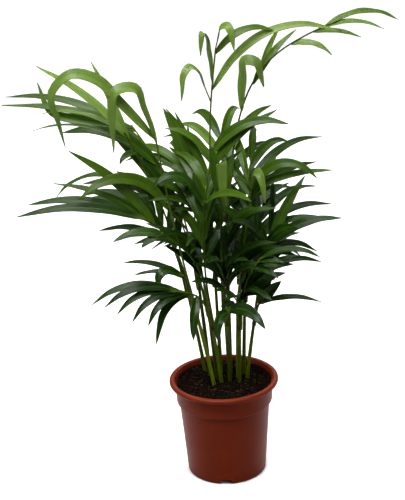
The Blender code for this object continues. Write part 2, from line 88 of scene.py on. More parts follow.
# Sizes of the fine surface
BLADE_STEPS = 30
RIBS = (-1, -0.8, -0.6, -0.4, -0.2, 0, 0.2, 0.4, 0.6, 0.8, 1)
BLADE_THICKNESS = 0.28 * MM
MIDRIB = 0.35 * MM
PLEAT = 0.16 * MM
PLEATS_ACROSS = 5
TWISTS = -14, 14                # degrees that a blade turns along its length
FOLDS = 13, 24                  # degrees that a blade's halves rise from its midrib
FOLD_LOST = 0.6                 # share of its fold that a blade has lost at its tip
RUFFLES = 0.1, 0.45             # millimetres
RUFFLE_WAVES = 19               # radians along a blade
STALK_STEPS = 40
STALK_RING_SIDES = 12
STALK_ROOT = 9 * MM             # of the stalk, inside its cane
ROOT_SWELL = 1.05
FOOT_FLARE = 0.9 * MM
FLARE_LENGTH = 14 * MM
CANE_STEPS = 40
CANE_SWELL = 0.03               # of a cane's radius, up and down
CANE_SWELL_WAVES = 11           # radians along a cane
CANE_TIP = 3 * MM               # past the CAD cane's top, into the stalk's foot
CANE_TIP_TAPER = 0.72
SHEATH_THICKNESS = 0.22 * MM
SHEATH_SIDES = 24
SHEATH_STEPS = 14
SHEATHS = 2                     # on each cane
LIP_PLACES = 0.42, 0.55         # share of a cane below its lower lip
LIP_STEP = 0.27
LIP_SLANT = 0.10
POT_STEPS = 144
POT_EDGE = 40                   # degrees between faces from which an edge is sharp
RIM_WIDTH = 5.4 * MM
SOIL_RINGS = 60
SOIL_SIDES = 180
SOIL_LUMPS = (90, 1.6 * MM), (260, 0.9 * MM)    # fineness and height
SOIL_RISE = 1.3 * MM            # of the lumpy skin above the CAD soil's edge
SOIL_MOUND = 1.2 * MM
CANE_ROOM = 3.0 * MM            # round a cane's foot, left clear of crumbs and fibres
FIBRES = 130
FIBRE_RADII = 0.10, 0.24        # millimetres
FIBRE_STEPS = 0.8, 2.0
FIBRE_HEIGHTS = 0.3, 1.3
FIBRE_SIDES = 5
CRUMBS = 2200
CRUMB_ROUGHNESS = 0.22          # of a crumb's size, that each corner is moved
CRUMB_SIZES = 0.35 * MM, 2.2 * MM
PERLITE_BITS = 16
PERLITE_SIZES = 0.25 * MM, 0.6 * MM
# Painted light on the leaflets: they are lighter the higher they reach, and those folded right over
# get a painted highlight
DARK_BELOW = 260 * MM           # leaflets are darkest below this height
LIGHT_ABOVE = 435 * MM          # and lightest above this one
HEIGHT_SHARE = 0.65             # of a leaflet's lightness that its height gives, the rest by chance
FOLDED = 150                    # droop, in degrees, of a leaflet that has folded right over
FOLDED_LIGHT = 0.80             # the least lightness of such a leaflet

# Camera and light
CAMERA_PLACE = (0.060, -1.167, 0.670)
CAMERA_ANGLES = (19.4, -3.77, -2.65)    # down, to the left, and rolled, in degrees
CAMERA_LENS = 84.2
WORLD_STRENGTH = 0.10
FLOOR_SIZE = 60
FLOOR_GLOW = 0.6                # keeps the floor white under the plant's soft shadow
SHADE_GLOW = 0.4                # and this much of it close to the pot
GLOW_STARTS, GLOW_NEAR, GLOW_FULL = 0.42, 0.50, 0.75    # in tenths of a metre from the pot's middle
SUN_STRENGTH = 1.6
SUN_SPREAD = 36                 # degrees
SUN_WAY = (-0.12, -0.3, -1)

# Colours, as linear red, green and blue
# The greens run from painted shade to painted light; each leaflet's painted lightness picks its
# green and the colour of its glow
LEAF_GREENS = [(0.0, (0.006, 0.024, 0.001)), (0.35, (0.014, 0.045, 0.0015)),
               (0.65, (0.050, 0.105, 0.004)), (1.0, (0.195, 0.290, 0.062))]
LEAF_GLOWS = (0.020, 0.085, 0.002), (0.240, 0.420, 0.014)    # of the light that comes through
LEAF_MIDRIB = (0.080, 0.150, 0.018)
LEAF_FOOT = (0.075, 0.125, 0.010)
LEAF_TIP = (0.075, 0.045, 0.014)
LEAF_GLOSS = 0.10
STALK_GLOSS = 0.05
SOIL_GLOSS = 0.02
STALK_GREENS = (0.018, 0.044, 0.001), (0.085, 0.150, 0.004)
CANE_GREENS = (0.015, 0.032, 0.0005), (0.150, 0.205, 0.004)
STREAK = (0.055, 0.088, 0.003)
FOOT_BROWN = (0.085, 0.072, 0.010)
SPECK = (0.060, 0.040, 0.015)
FRONT_TO_BACK = 40              # millimetres over which the canes' green darkens towards the back, painted shade
CANE_MIDDLE = 0.45              # lightness of a cane at the middle
CANE_FRONT_SHARE = 0.75         # of its lightness that its place gives as painted shade, the rest by chance
POT_ORANGES = [(0.3, (0.165, 0.0160, 0.0020)), (0.7, (0.215, 0.0230, 0.0030))]
POT_STREAK = (0.140, 0.014, 0.002)
POT_DUST = (0.160, 0.070, 0.045)
POT_GLOSS = 0.07
COMPOST = (0.0009, 0.0006, 0.0004), (0.0080, 0.0045, 0.0020)
BARK = (0.0015, 0.0010, 0.0008), (0.020, 0.010, 0.005)
PERLITE = (0.28, 0.26, 0.23), (0.55, 0.52, 0.47)
FIBRE = (0.05, 0.03, 0.015), (0.17, 0.11, 0.06)
FLOOR_GREY = (0.86, 0.86, 0.86)

# Fine pattern: waves across a blade (radians), and noise scales
LEAF_RIBS, LEAF_FINE_RIBS = 44.0, 170.0
MIDRIB_HALF = 0.035
LEAF_MOTTLE, LEAF_PORES = 70, 900
STREAKS, SPECKS = 900, 2600
POT_CLOUDS, POT_FLOW, POT_SPECKS, POT_SCUFFS, POT_GRAIN = 22, 60, 1500, 120, 2200
SOIL_GRAIN, BARK_GRAIN, PERLITE_GRAIN, FIBRE_GRAIN = 420, 700, 900, 600
STALK_RIDGES, CANE_RIDGES = 4, 9
BLACK, WHITE = (0, 0, 0), (1, 1, 1)

# Area lights; a glint lights only the shine of things
Lamp = namedtuple("Lamp", "name place target size power glint", defaults=(False,))
LAMPS = (
    Lamp("top", (-0.12, -0.35, 1.0), (0, 0, 0.35), 0.6, 12),
    Lamp("back", (0.1, 1.3, 1.3), (0, 0, 0.4), 1.0, 16),
    Lamp("left", (-1.3, -0.1, 0.5), (0, 0, 0.15), 0.6, 3),
    Lamp("right", (1.2, -0.9, 0.5), (0, 0, 0.1), 0.4, 3),
    Lamp("glint", (-0.25, -0.5, 1.3), (0, 0, 0.3), 0.35, 40, True),
)

Cane = namedtuple("Cane", "foot top")
Frond = namedtuple("Frond", "name cane tip leaflets stiff", defaults=(0.5,))
Leaflet = namedtuple("Leaflet", "at heading rise droop length width turn bend")
Plume = namedtuple("Plume", "cane heading lean length reach rise")

# Feet (x, y) at the soil and tops (x, y, z), in millimetres
CANES = (
    Cane((-18, 20), (-38, 32, 200)),
    Cane((-6, -15), (-28, -16, 205)),
    Cane((-6, 4), (-14, 2, 190)),
    Cane((7, 6), (4, 4, 185)),
    Cane((15, 6), (18, 2, 195)),
    Cane((21, 14), (26, 14, 200)),
    Cane((23, 4), (36, -4, 180)),
    Cane((-14, 11), (-24, 16, 215)),
    Cane((-3, 15), (-6, 22, 215)),
    Cane((7, 17), (8, 27, 225)),
    Cane((0, -5), (-10, -13, 180)),
    Cane((7, -3), (7, -14, 185)),
    Cane((16, 18), (21, 30, 215)),
    Cane((17, -3), (20, -14, 180)),
)


def leaf(at, heading, rise, droop, length, width=11, turn=50, bend=(0.2, 1.0)):
    """A leaflet: at is its place along the stalk, heading runs anticlockwise from +X seen from
    above, rise is its slope at the base, droop what it bends down by between the two places
    in bend, and turn how far its upper face turns to the display side. Degrees, millimetres."""
    return Leaflet(at, heading, rise, droop, length, width, turn, bend)


def between(ends, share):
    return ends[0] + (ends[1] - ends[0]) * share


def fan(count, **ends):
    """Leaflets spread evenly between two sets of leaflet values."""
    leaflets = []
    for index in range(count):
        share = index / (count - 1)
        values = {}
        for key, value in ends.items():
            values[key] = between(value, share) if isinstance(value, tuple) else value
        leaflets.append(leaf(**values))
    return leaflets


# The fronds of the display side, each with the place in millimetres where its stalk ends
SHOWN_FRONDS = [
    Frond("frond_top", 8, (6, -10, 473), [
        leaf(0.68, 215, 68, 150, 85, 10, 30, (0.45, 0.7)),
        leaf(0.80, 240, 82, 165, 80, 10, 30, (0.6, 0.8)),
        leaf(0.98, 320, 70, 150, 60, 10, 35, (0.4, 0.7)),
        leaf(0.97, 15, 45, 75, 72, 8, 60),
        leaf(0.76, 2, 54, 80, 158, 9, 60),
    ], 0.6),
    Frond("frond_top_right", 9, (120, 35, 486), [
        leaf(0.40, 345, 85, 160, 92, 15, 55, (0.5, 0.75)),
        leaf(0.98, 10, 25, 60, 82, 7, 40),
        leaf(0.96, 0, 15, 45, 66, 7, 40),
        leaf(0.92, 350, 5, 30, 50, 7, 40),
        leaf(0.80, 345, 10, 60, 46, 8, 45),
        leaf(0.52, 15, 58, 25, 72, 8, 60),
        leaf(0.58, 60, 50, 20, 60, 7, 60),
    ], 0.75),
    Frond("frond_centre_folded", 3, (8, -38, 333), [
        leaf(0.97, 280, 80, 160, 85, 12, 30, (0.35, 0.5)),
        leaf(0.94, 150, 80, 5, 55, 13, 70),
        leaf(0.90, 30, 75, 8, 50, 12, 70),
    ]),
    Frond("frond_left_arch", 1, (-55, -50, 395), [
        leaf(0.98, 190, 50, 150, 190, 12, 50, (0.42, 0.78)),
        leaf(0.95, 200, 72, 160, 140, 14, 35, (0.36, 0.66)),
    ]),
    Frond("frond_left_long", 0, (-93, 10, 386), [
        leaf(0.96, 200, 52, 22, 122, 11, 55),
        leaf(0.90, 180, 30, 50, 112, 7, 20),
        leaf(0.98, 170, 32, 45, 95, 6, 20),
        leaf(0.93, 150, 65, 8, 92, 8, 60),
        leaf(0.85, 220, 10, 80, 25, 7, 60),
    ]),
    Frond("frond_left_fan", 7, (-90, 50, 384), [
        leaf(0.90, 176, 18, -80, 135, 12, 60, (0.65, 1.0)),
        leaf(0.95, 168, 28, 36, 155, 9, 50),
        leaf(0.98, 182, 20, 20, 143, 9, 50),
        leaf(0.75, 160, 40, 20, 110, 12, 60),
        leaf(0.70, 180, 45, 60, 115, 14, 65),
        leaf(0.60, 165, 50, 20, 100, 13, 65),
    ]),
    Frond("frond_left_broad", 2, (-42, 30, 285), [
        leaf(0.97, 168, 55, 30, 110, 15, 70),
        leaf(0.93, 175, 75, 15, 85, 14, 65),
    ]),
    Frond("frond_left_arcs", 7, (-78, 10, 325), [
        leaf(0.98, 185, 30, 90, 112, 8, 30),
        leaf(0.70, 205, 55, 100, 120, 15, 55),
        leaf(0.92, 175, 25, 40, 75, 9, 45),
        leaf(0.80, 190, 50, 25, 60, 12, 60),
    ]),
    Frond("frond_left_low", 0, (-75, -15, 300), [
        leaf(0.80, 195, 56, 24, 126, 12, 65),
        leaf(0.88, 175, 38, 32, 112, 9, 40),
        leaf(0.95, 182, 25, 38, 128, 11, 45),
        leaf(0.98, 190, 18, 32, 136, 11, 50),
    ]),
    Frond("frond_left_dark", 2, (-56, -30, 288), [
        leaf(0.94, 195, 20, 50, 58, 12, 45),
        leaf(0.98, 210, -5, 40, 28, 9, 45),
    ]),
    Frond("frond_low_left_small", 1, (-36, -28, 240), [
        leaf(0.98, 180, 30, 40, 68, 7, 45),
        leaf(0.94, 190, 22, 40, 56, 6, 40),
        leaf(0.88, 215, 35, 120, 50, 13, 35, (0.4, 0.8)),
    ]),
    Frond("frond_low_left", 10, (-43, -47, 230),
        fan(5, at=(0.97, 0.78), heading=(184, 222), rise=(28, 8), droop=(62, 75),
            length=(95, 62), width=9.5, turn=45)
        + [leaf(0.70, 215, 0, 75, 72, 9, 40, (0.1, 0.7)),
           leaf(0.55, 260, -40, 50, 48, 11, 25)]),
    Frond("frond_low_centre", 11, (10, -48, 206), [
        leaf(0.97, 250, 10, 110, 50, 11, 35, (0.3, 0.8)),
        leaf(0.92, 315, 25, 75, 60, 14, 50),
    ]),
    Frond("frond_low_right", 6, (42, -14, 202), [
        leaf(0.96, 350, 20, 40, 68, 7, 40),
        leaf(0.92, 10, 50, 15, 34, 13, 65),
        leaf(0.85, 30, 65, 10, 40, 10, 60),
    ]),
    Frond("frond_right_thin", 13, (45, -40, 262), [
        leaf(0.98, 350, 28, 60, 66, 8, 35),
        leaf(0.94, 335, 15, 30, 30, 9, 40),
        leaf(0.80, 320, 10, 40, 34, 9, 35),
    ]),
    Frond("frond_right_fan", 5, (56, 12, 262),
        fan(7, at=(0.82, 0.98), heading=(350, 30), rise=(42, 62), droop=(45, 15),
            length=(95, 80), width=11.5, turn=62)
        + [leaf(0.65, 80, 85, 5, 80, 14, 70)]),
    Frond("frond_right_high", 4, (38, 15, 322),
        [leaf(0.93, 345, 62, 115, 92, 12, 60),
         leaf(0.85, 300, 75, 150, 80, 11, 45, (0.4, 0.7))]
        + fan(4, at=(0.88, 0.98), heading=(20, 352), rise=(62, 24), droop=(15, 25),
              length=(55, 88), width=(12, 8), turn=55)),
    Frond("frond_crossing", 10, (-10, -38, 325), [
        leaf(0.97, 330, 32, 45, 85, 10, 40),
        leaf(0.94, 200, 60, 110, 78, 11, 45, (0.4, 0.9)),
        leaf(0.88, 170, 80, 5, 45, 13, 70),
    ]),
    Frond("frond_centre_tall", 2, (-3, 20, 365), [
        leaf(0.95, 355, 50, 72, 95, 12, 60),
        leaf(0.84, 5, 52, 30, 98, 10, 60),
        leaf(0.90, 190, 66, 62, 64, 9, 55),
        leaf(0.82, 165, 62, 10, 82, 9, 60),
        leaf(0.76, 150, 66, 5, 82, 9, 60),
    ]),
    Frond("frond_upright_left", 7, (-26, 50, 302), [
        leaf(0.97, 150, 80, 25, 105, 17, 70),
        leaf(0.93, 110, 85, 10, 85, 13, 70),
    ]),
]

# The fronds of the back and the dense middle
PLUMES = (
    Plume(12, 70, 20, 130, 90, 46), Plume(9, 95, 28, 150, 95, 42), Plume(8, 130, 24, 130, 90, 44),
    Plume(0, 140, 30, 100, 90, 40), Plume(5, 50, 22, 90, 80, 45), Plume(12, 90, 35, 90, 80, 38),
    Plume(10, 90, 4, 150, 75, 62), Plume(2, 240, 12, 75, 70, 58),
    Plume(3, 300, 8, 90, 75, 62), Plume(4, 20, 10, 50, 55, 60), Plume(13, 320, 14, 50, 45, 60),
    Plume(11, 270, 12, 60, 60, 60), Plume(8, 200, 8, 100, 75, 62), Plume(6, 60, 14, 60, 50, 62),
    Plume(12, 75, 60, 38, 80, 14), Plume(9, 110, 62, 40, 80, 12),
    Plume(5, 70, 45, 38, 70, 24), Plume(13, 290, 20, 34, 45, 50),
    Plume(9, 90, 6, 60, 55, 50), Plume(3, 100, 3, 70, 50, 55),
)
PLUME_LEAFLETS = 8
PLUME_PLACES = (0.4, 0.97)      # of the first and the last leaflet along the stalk
PLUME_SPREAD = (62, 20)         # their angles from the frond's heading
PLUME_DROOP = (45, 75)
PLUME_LENGTHS = (0.8, 1.2)      # of the end leaflets and the middle one, against the reach
PLUME_WIDTH = 10.5
PLUME_TURN = 38
PLUME_SEED = 7
SPREAD_JITTER = 8
LENGTH_JITTER = 6
RISE_JITTER = 9
DROOP_JITTER = 12

# Small turns (heading, rise) tried in order, until a blade has a free place
LEAFLET_TURNS = [(0, 0)] + [(turn * side, rise * side) for turn in (7, 14, 22, 30)
                           for side in (1, -1) for rise in (0, 7, -7)]
# Places round the cane's top tried for a stalk's foot, in degrees from the way it leans, and
# sideways pulls on the stalk (millimetres, direction in degrees) tried after them
STALK_FEET = (0, 90, -90, 180, 45, -45, 135, -135)
STALK_PULLS = [(0, 0)] + [(reach, angle) for reach in (6, 12, 20, 30)
                          for angle in range(0, 360, 45)]


def plume_fronds():
    """Fronds that follow a rule: leaflets on alternate sides, longest in the middle."""
    chance = random.Random(PLUME_SEED)
    fronds = []
    for number, plume in enumerate(PLUMES):
        heading, lean = math.radians(plume.heading), math.radians(plume.lean)
        out = Vector((math.cos(heading), math.sin(heading), 0))
        tip = Vector(CANES[plume.cane].top)
        tip += plume.length * (math.sin(lean) * out + math.cos(lean) * Vector((0, 0, 1)))
        leaflets = []
        for index in range(PLUME_LEAFLETS):
            share = index / (PLUME_LEAFLETS - 1)
            side = 1 if index % 2 else -1
            spread = between(PLUME_SPREAD, share) + chance.uniform(-SPREAD_JITTER, SPREAD_JITTER)
            size = plume.reach * between(PLUME_LENGTHS, math.sin(math.pi * share))
            size += chance.uniform(-LENGTH_JITTER, LENGTH_JITTER)
            rise = plume.rise + chance.uniform(-RISE_JITTER, RISE_JITTER)
            droop = between(PLUME_DROOP, share) + chance.uniform(-DROOP_JITTER, DROOP_JITTER)
            leaflets.append(leaf(between(PLUME_PLACES, share), plume.heading + side * spread,
                                 rise, droop, size, PLUME_WIDTH, PLUME_TURN))
        fronds.append(Frond(f"frond_inner_{number + 1:02d}", plume.cane, tuple(tip), leaflets))
    return fronds


# ---------------------------------------------------------------- the frame's fronds, found again

def along_line(points, share):
    place = share * (len(points) - 1)
    index = min(int(place), len(points) - 2)
    return points[index].lerp(points[index + 1], place - index)


def cane_points(cane):
    foot = Vector((cane.foot[0] * MM, cane.foot[1] * MM, CANE_FOOT_Z))
    top = Vector(cane.top) * MM
    rise = Vector((0, 0, top.z - foot.z))
    middle = foot + rise / 2 + (top - foot - rise) * CANE_MID_LEAN
    return [foot, middle, top]


def stalk_points(frond, foot, pull):
    """A stalk leaves its cane along the cane and arches over to its end."""
    points = cane_points(CANES[frond.cane])
    top = points[2]
    along = (points[2] - points[1]).normalized()
    end = Vector(frond.tip) * MM
    away = end - top
    sideways = (away - away.dot(along) * along).normalized()
    sideways.rotate(Quaternion(along, math.radians(foot)))
    start = top + sideways * STALK_OFFSET + along * STALK_LIFT
    first = start + along * (end - start).length * frond.stiff
    reach, angle = pull[0] * MM, math.radians(pull[1])
    first += reach * Vector((math.cos(angle), math.sin(angle), 0))
    second = first.lerp(end, 1 / 3)
    count = LONG_STALK_POINTS if (end - start).length > LONG_STALK else STALK_POINTS
    result = []
    for index in range(count):
        share = index / (count - 1)
        left = 1 - share
        result.append(start * left ** 3 + first * 3 * left ** 2 * share
                      + second * 3 * left * share ** 2 + end * share ** 3)
    return result


def blade_points(base, leaflet, turn):
    """Points along a leaflet's middle, in the upright plane of its heading."""
    segments = next(pieces for droop, pieces in BLADE_PIECES if abs(leaflet.droop) > droop)
    heading = math.radians(leaflet.heading + turn[0])
    out = Vector((math.cos(heading), math.sin(heading), 0))
    step = leaflet.length * MM / segments
    point = Vector(base)
    points = [point.copy()]
    for index in range(segments):
        share = (index + 0.5) / segments
        bent = (share - leaflet.bend[0]) / (leaflet.bend[1] - leaflet.bend[0])
        slope = math.radians(leaflet.rise + turn[1]
                             - leaflet.droop * min(1.0, max(0.0, bent)))
        point = point + step * (math.cos(slope) * out + Vector((0, 0, math.sin(slope))))
        points.append(point.copy())
    return points, out


def tree_of(mesh):
    return BVHTree.FromPolygons([v.co.copy() for v in mesh.vertices],
                                [tuple(p.vertices) for p in mesh.polygons])


def misfit(tree, points):
    """How far the deepest of the points is from the middle of a CAD blade."""
    deepest = max(tree.find_nearest(point)[3] for point in points)
    return abs(deepest - CAD_BLADE_THICKNESS / 2)


def stalk_misfit(tree, points):
    """How far the stalk's inner points are from the middle of the CAD tube."""
    steps = len(points) - 1
    worst = 0
    for index in range(1, steps):
        radius = between((STALK_FOOT_RADIUS, STALK_TIP_RADIUS), index / steps)
        depth = tree.find_nearest(points[index])[3]
        worst = max(worst, abs(depth - radius * HEXAGON_FLAT))
    return worst


def settled_stalk(frond, tree):
    """The stalk that the CAD frond has, of those it could have taken."""
    choices = [stalk_points(frond, foot, pull) for pull in STALK_PULLS for foot in STALK_FEET]
    return min(choices, key=lambda points: stalk_misfit(tree, points))


def settled_blade(base, leaflet, tree):
    """The leaflet that the CAD frond has, or None where it found no room."""
    choices = [blade_points(base, leaflet, turn) for turn in LEAFLET_TURNS]
    points, out = min(choices, key=lambda choice: misfit(tree, choice[0][1:]))
    return (points, out) if misfit(tree, points[1:]) < FIT else (None, None)


# ---------------------------------------------------------------- meshes

def linked(name, data):
    """A new object in the scene."""
    item = bpy.data.objects.new(name, data)
    bpy.context.scene.collection.objects.link(item)
    return item


class Build:
    """Gathers vertices, faces, UVs and material numbers for one mesh."""

    def __init__(self):
        self.verts, self.faces, self.uvs, self.tints, self.slots = [], [], [], [], []

    def grid(self, rows, uv_rows, tint, slot, closed=False):
        first = len(self.verts)
        width = len(rows[0])
        for row in rows:
            self.verts.extend(row)
        across = width if closed else width - 1
        for i in range(len(rows) - 1):
            for j in range(across):
                k = (j + 1) % width
                self.faces.append((first + i * width + j, first + i * width + k,
                                   first + (i + 1) * width + k, first + (i + 1) * width + j))
                u0, u1 = uv_rows[i], uv_rows[i + 1]
                v0, v1 = j / across, (j + 1) / across
                self.uvs.append(((u0, v0), (u0, v1), (u1, v1), (u1, v0)))
                self.tints.append(tint)
                self.slots.append(slot)

    def cap(self, ring, tint, slot, flip=False):
        self.faces.append(tuple(reversed(ring)) if flip else tuple(ring))
        self.uvs.append(tuple((0, 0) for _ in ring))
        self.tints.append(tint)
        self.slots.append(slot)

    def object(self, name, materials):
        mesh = bpy.data.meshes.new(name)
        mesh.from_pydata([tuple(v) for v in self.verts], [], self.faces)
        uv = mesh.uv_layers.new(name="along")
        tint = mesh.uv_layers.new(name="tint")
        for polygon, uvs, value in zip(mesh.polygons, self.uvs, self.tints):
            for loop, pair in zip(polygon.loop_indices, uvs):
                uv.data[loop].uv = pair
                tint.data[loop].uv = value
        for material in materials:
            mesh.materials.append(material)
        for polygon, slot in zip(mesh.polygons, self.slots):
            polygon.material_index = slot
        mesh.shade_smooth()
        return linked(name, mesh)


def smooth_line(points, count):
    """A smooth curve through the points, read at even places."""
    padded = [points[0] * 2 - points[1]] + points + [points[-1] * 2 - points[-2]]
    line = []
    for index in range(count + 1):
        place = index / count * (len(points) - 1)
        k = min(int(place), len(points) - 2)
        t = place - k
        a, b, c, d = padded[k:k + 4]
        line.append(0.5 * ((2 * b) + (c - a) * t + (2 * a - 5 * b + 4 * c - d) * t * t
                           + (3 * b - a - 3 * c + d) * t ** 3))
    return line


def tangents(line):
    last = len(line) - 1
    return [(line[min(i + 1, last)] - line[max(i - 1, 0)]).normalized()
            for i in range(len(line))]


def tube(build, line, radii, sides, tint, slot):
    """A closed round tube along the line."""
    ways = tangents(line)
    side = ways[0].orthogonal().normalized()
    rows, first = [], len(build.verts)
    for point, way, radius in zip(line, ways, radii):
        side = (side - side.dot(way) * way).normalized()
        other = way.cross(side)
        rows.append([point + radius * (math.cos(math.tau * k / sides) * side
                                       + math.sin(math.tau * k / sides) * other)
                     for k in range(sides)])
    build.grid(rows, [i / (len(rows) - 1) for i in range(len(rows))], tint, slot, closed=True)
    build.cap([first + k for k in range(sides)], tint, slot, flip=True)
    last = first + sides * (len(rows) - 1)
    build.cap([last + k for k in range(sides)], tint, slot)


def blade_width(share, width):
    """Narrow at the base, widest before its middle, drawn out to a point."""
    swell = math.sin(math.pi * min(1.0, share ** BLADE_WIDEST)) ** BLADE_FULLNESS
    ends = BLADE_BASE_WIDTH + (BLADE_TIP_WIDTH - BLADE_BASE_WIDTH) * share
    return max(ends, width * swell)


def blade_frame(way, out, facing):
    """The across and face directions of a blade that runs in the upright plane of out."""
    slope = math.atan2(way.z, way.dot(out))
    up = Vector((0, 0, math.cos(slope))) - math.sin(slope) * out
    front = Vector((0, -1, 0))
    front = front - front.dot(way) * way - front.dot(up) * up
    across = front.normalized() if front.length > 0.05 else way.cross(up)
    normal = math.cos(facing) * up + math.sin(facing) * across
    return way.cross(normal).normalized(), normal.normalized()


def blade(build, points, out, leaflet, chance, tint):
    """A folded, ribbed leaflet blade with an upper and a lower face."""
    line = smooth_line(points, BLADE_STEPS)
    ways = tangents(line)
    twist = math.radians(chance.uniform(*TWISTS))
    wave, phase = chance.uniform(*RUFFLES) * MM, chance.uniform(0, math.tau)
    fold = math.radians(chance.uniform(*FOLDS))
    sheets = ([], [])
    for index, (point, way) in enumerate(zip(line, ways)):
        share = index / BLADE_STEPS
        side, normal = blade_frame(way, out, math.radians(leaflet.turn))
        turn = Quaternion(way, twist * share)
        side.rotate(turn)
        normal.rotate(turn)
        half = blade_width(share, leaflet.width * MM) / 2
        crease = fold * (1 - FOLD_LOST * share)
        rows = ([], [])
        for place in RIBS:
            lift = math.sin(crease) * abs(place) * half
            pleat = PLEAT * math.cos(place * PLEATS_ACROSS * math.pi) * min(1, half / (3 * MM))
            ruffle = wave * abs(place) * math.sin(phase + share * RUFFLE_WAVES
                                                  + (2 if place > 0 else 0))
            body = point + side * (half * place * math.cos(crease)) \
                + normal * (lift + pleat + ruffle)
            thick = BLADE_THICKNESS * (1.1 - 0.8 * abs(place)) + (MIDRIB if place == 0 else 0)
            rows[0].append(body + normal * BLADE_THICKNESS / 2)
            rows[1].append(body - normal * thick / 2)
        sheets[0].append(rows[0])
        sheets[1].append(rows[1])
    rings = [upper + list(reversed(lower)) for upper, lower in zip(*sheets)]
    first, width = len(build.verts), len(rings[0])
    for ring in rings:
        build.verts.extend(ring)
    top = len(RIBS) - 1
    for i in range(len(rings) - 1):
        for j in range(width):
            k = (j + 1) % width
            build.faces.append((first + i * width + j, first + (i + 1) * width + j,
                                first + (i + 1) * width + k, first + i * width + k))
            v0 = (j if j <= top else width - 1 - j) / top
            v1 = (k if k <= top else width - 1 - k) / top
            u0, u1 = i / BLADE_STEPS, (i + 1) / BLADE_STEPS
            build.uvs.append(((u0, v0), (u1, v0), (u1, v1), (u0, v1)))
            build.tints.append(tint)
            build.slots.append(0)
    build.cap([first + k for k in range(width)], tint, 0)
    last = first + width * (len(rings) - 1)
    build.cap([last + k for k in range(width)], tint, 0, flip=True)


def painted_lightness(points, droop, chance):
    """How light a leaflet's green is: painted light, lighter the higher it reaches, with a painted
    highlight on those folded right over, and some tone by chance.
    """
    height = (points[len(points) // 2].z - DARK_BELOW) / (LIGHT_ABOVE - DARK_BELOW)
    light = (HEIGHT_SHARE * min(1.0, max(0.0, height))
             + (1 - HEIGHT_SHARE) * chance.random())
    return max(light, FOLDED_LIGHT) if droop >= FOLDED else light


def make_frond(frond, materials):
    """A whole frond: stalk and midrib with its leaflets, in place of the CAD frond."""
    chance = random.Random(f"{SEED} {frond.name}")
    tree = tree_of(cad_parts[frond.name].data)
    points = settled_stalk(frond, tree)
    build = Build()
    line = smooth_line(points, STALK_STEPS)
    ways = tangents(line)
    foot = [line[0] - ways[0] * STALK_ROOT]
    length = (line[-1] - line[0]).length
    radii = []
    for index in range(len(line)):
        share = index / STALK_STEPS
        flare = FOOT_FLARE * math.exp(-share * length / FLARE_LENGTH)
        radii.append(STALK_FOOT_RADIUS + (STALK_TIP_RADIUS - STALK_FOOT_RADIUS) * share
                     + flare)
    tint = (chance.random(), chance.random())
    tube(build, foot + line, [radii[0] * ROOT_SWELL] + radii, STALK_RING_SIDES, tint, 1)
    for leaflet in frond.leaflets:
        base = along_line(points, leaflet.at)
        found, out = settled_blade(base, leaflet, tree)
        if found:
            tint = (painted_lightness(found, leaflet.droop, chance), chance.random())
            blade(build, found, out, leaflet, chance, tint)
    item = build.object(f"leaf_{frond.name}", materials)
    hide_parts(frond.name)
    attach(item, "root")


def make_cane(number, cane, material):
    """A cane: leaf sheaths wrapped one over another, each ending in a slanted lip."""
    chance = random.Random(f"{SEED} cane {number}")
    line = smooth_line(cane_points(cane), CANE_STEPS)
    build = Build()
    radii = []
    for index in range(len(line)):
        share = index / CANE_STEPS
        radius = CANE_FOOT_RADIUS + (CANE_TOP_RADIUS - CANE_FOOT_RADIUS) * share
        radii.append(radius * (1 + CANE_SWELL * math.sin(share * CANE_SWELL_WAVES + number)))
    # Painted shade: canes standing further back are darker green
    front = min(1.0, max(0.0, CANE_MIDDLE - cane.foot[1] / FRONT_TO_BACK))
    light = CANE_FRONT_SHARE * front + (1 - CANE_FRONT_SHARE) * chance.random()
    tint = (light, chance.random())
    line = line + [line[-1] + (line[-1] - line[-2]).normalized() * CANE_TIP]
    radii = radii + [CANE_TOP_RADIUS * CANE_TIP_TAPER]
    tube(build, line, radii, SHEATH_SIDES, tint, 0)
    for lip in range(SHEATHS):
        start = chance.uniform(*LIP_PLACES) + LIP_STEP * lip
        angle = chance.uniform(0, math.tau)
        sheath(build, line, radii, start, angle, tint)
    item = build.object(f"stem_{number + 1:02d}", [material])
    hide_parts(f"cane_{number + 1:02d}")
    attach(item, "root")


def sheath(build, line, radii, start, angle, tint):
    """One thin sheath wrapped round the cane below its slanted, pointed lip."""
    sides, steps = SHEATH_SIDES, SHEATH_STEPS
    ways = tangents(line)
    rings = []
    for i in range(steps + 1):
        ring = []
        for k in range(sides):
            way_round = math.tau * k / sides
            lip = start + LIP_SLANT * (0.5 + 0.5 * math.cos(way_round - angle)) ** 2
            share = lip * i / steps
            place = share * CANE_STEPS
            index = min(int(place), CANE_STEPS - 1)
            centre = line[index].lerp(line[index + 1], place - index)
            way = ways[index]
            side = Vector((1, 0, 0))
            side = (side - side.dot(way) * way).normalized()
            radius = radii[index] + (radii[index + 1] - radii[index]) * (place - index)
            radius += SHEATH_THICKNESS * min(1, (1 - i / steps) * 6)
            ring.append(centre + radius * (math.cos(way_round) * side
                                           + math.sin(way_round) * way.cross(side)))
        rings.append(ring)
    build.grid(rings, [i / steps for i in range(steps + 1)], (tint[1], tint[0]), 0, closed=True)


# ---------------------------------------------------------------- materials

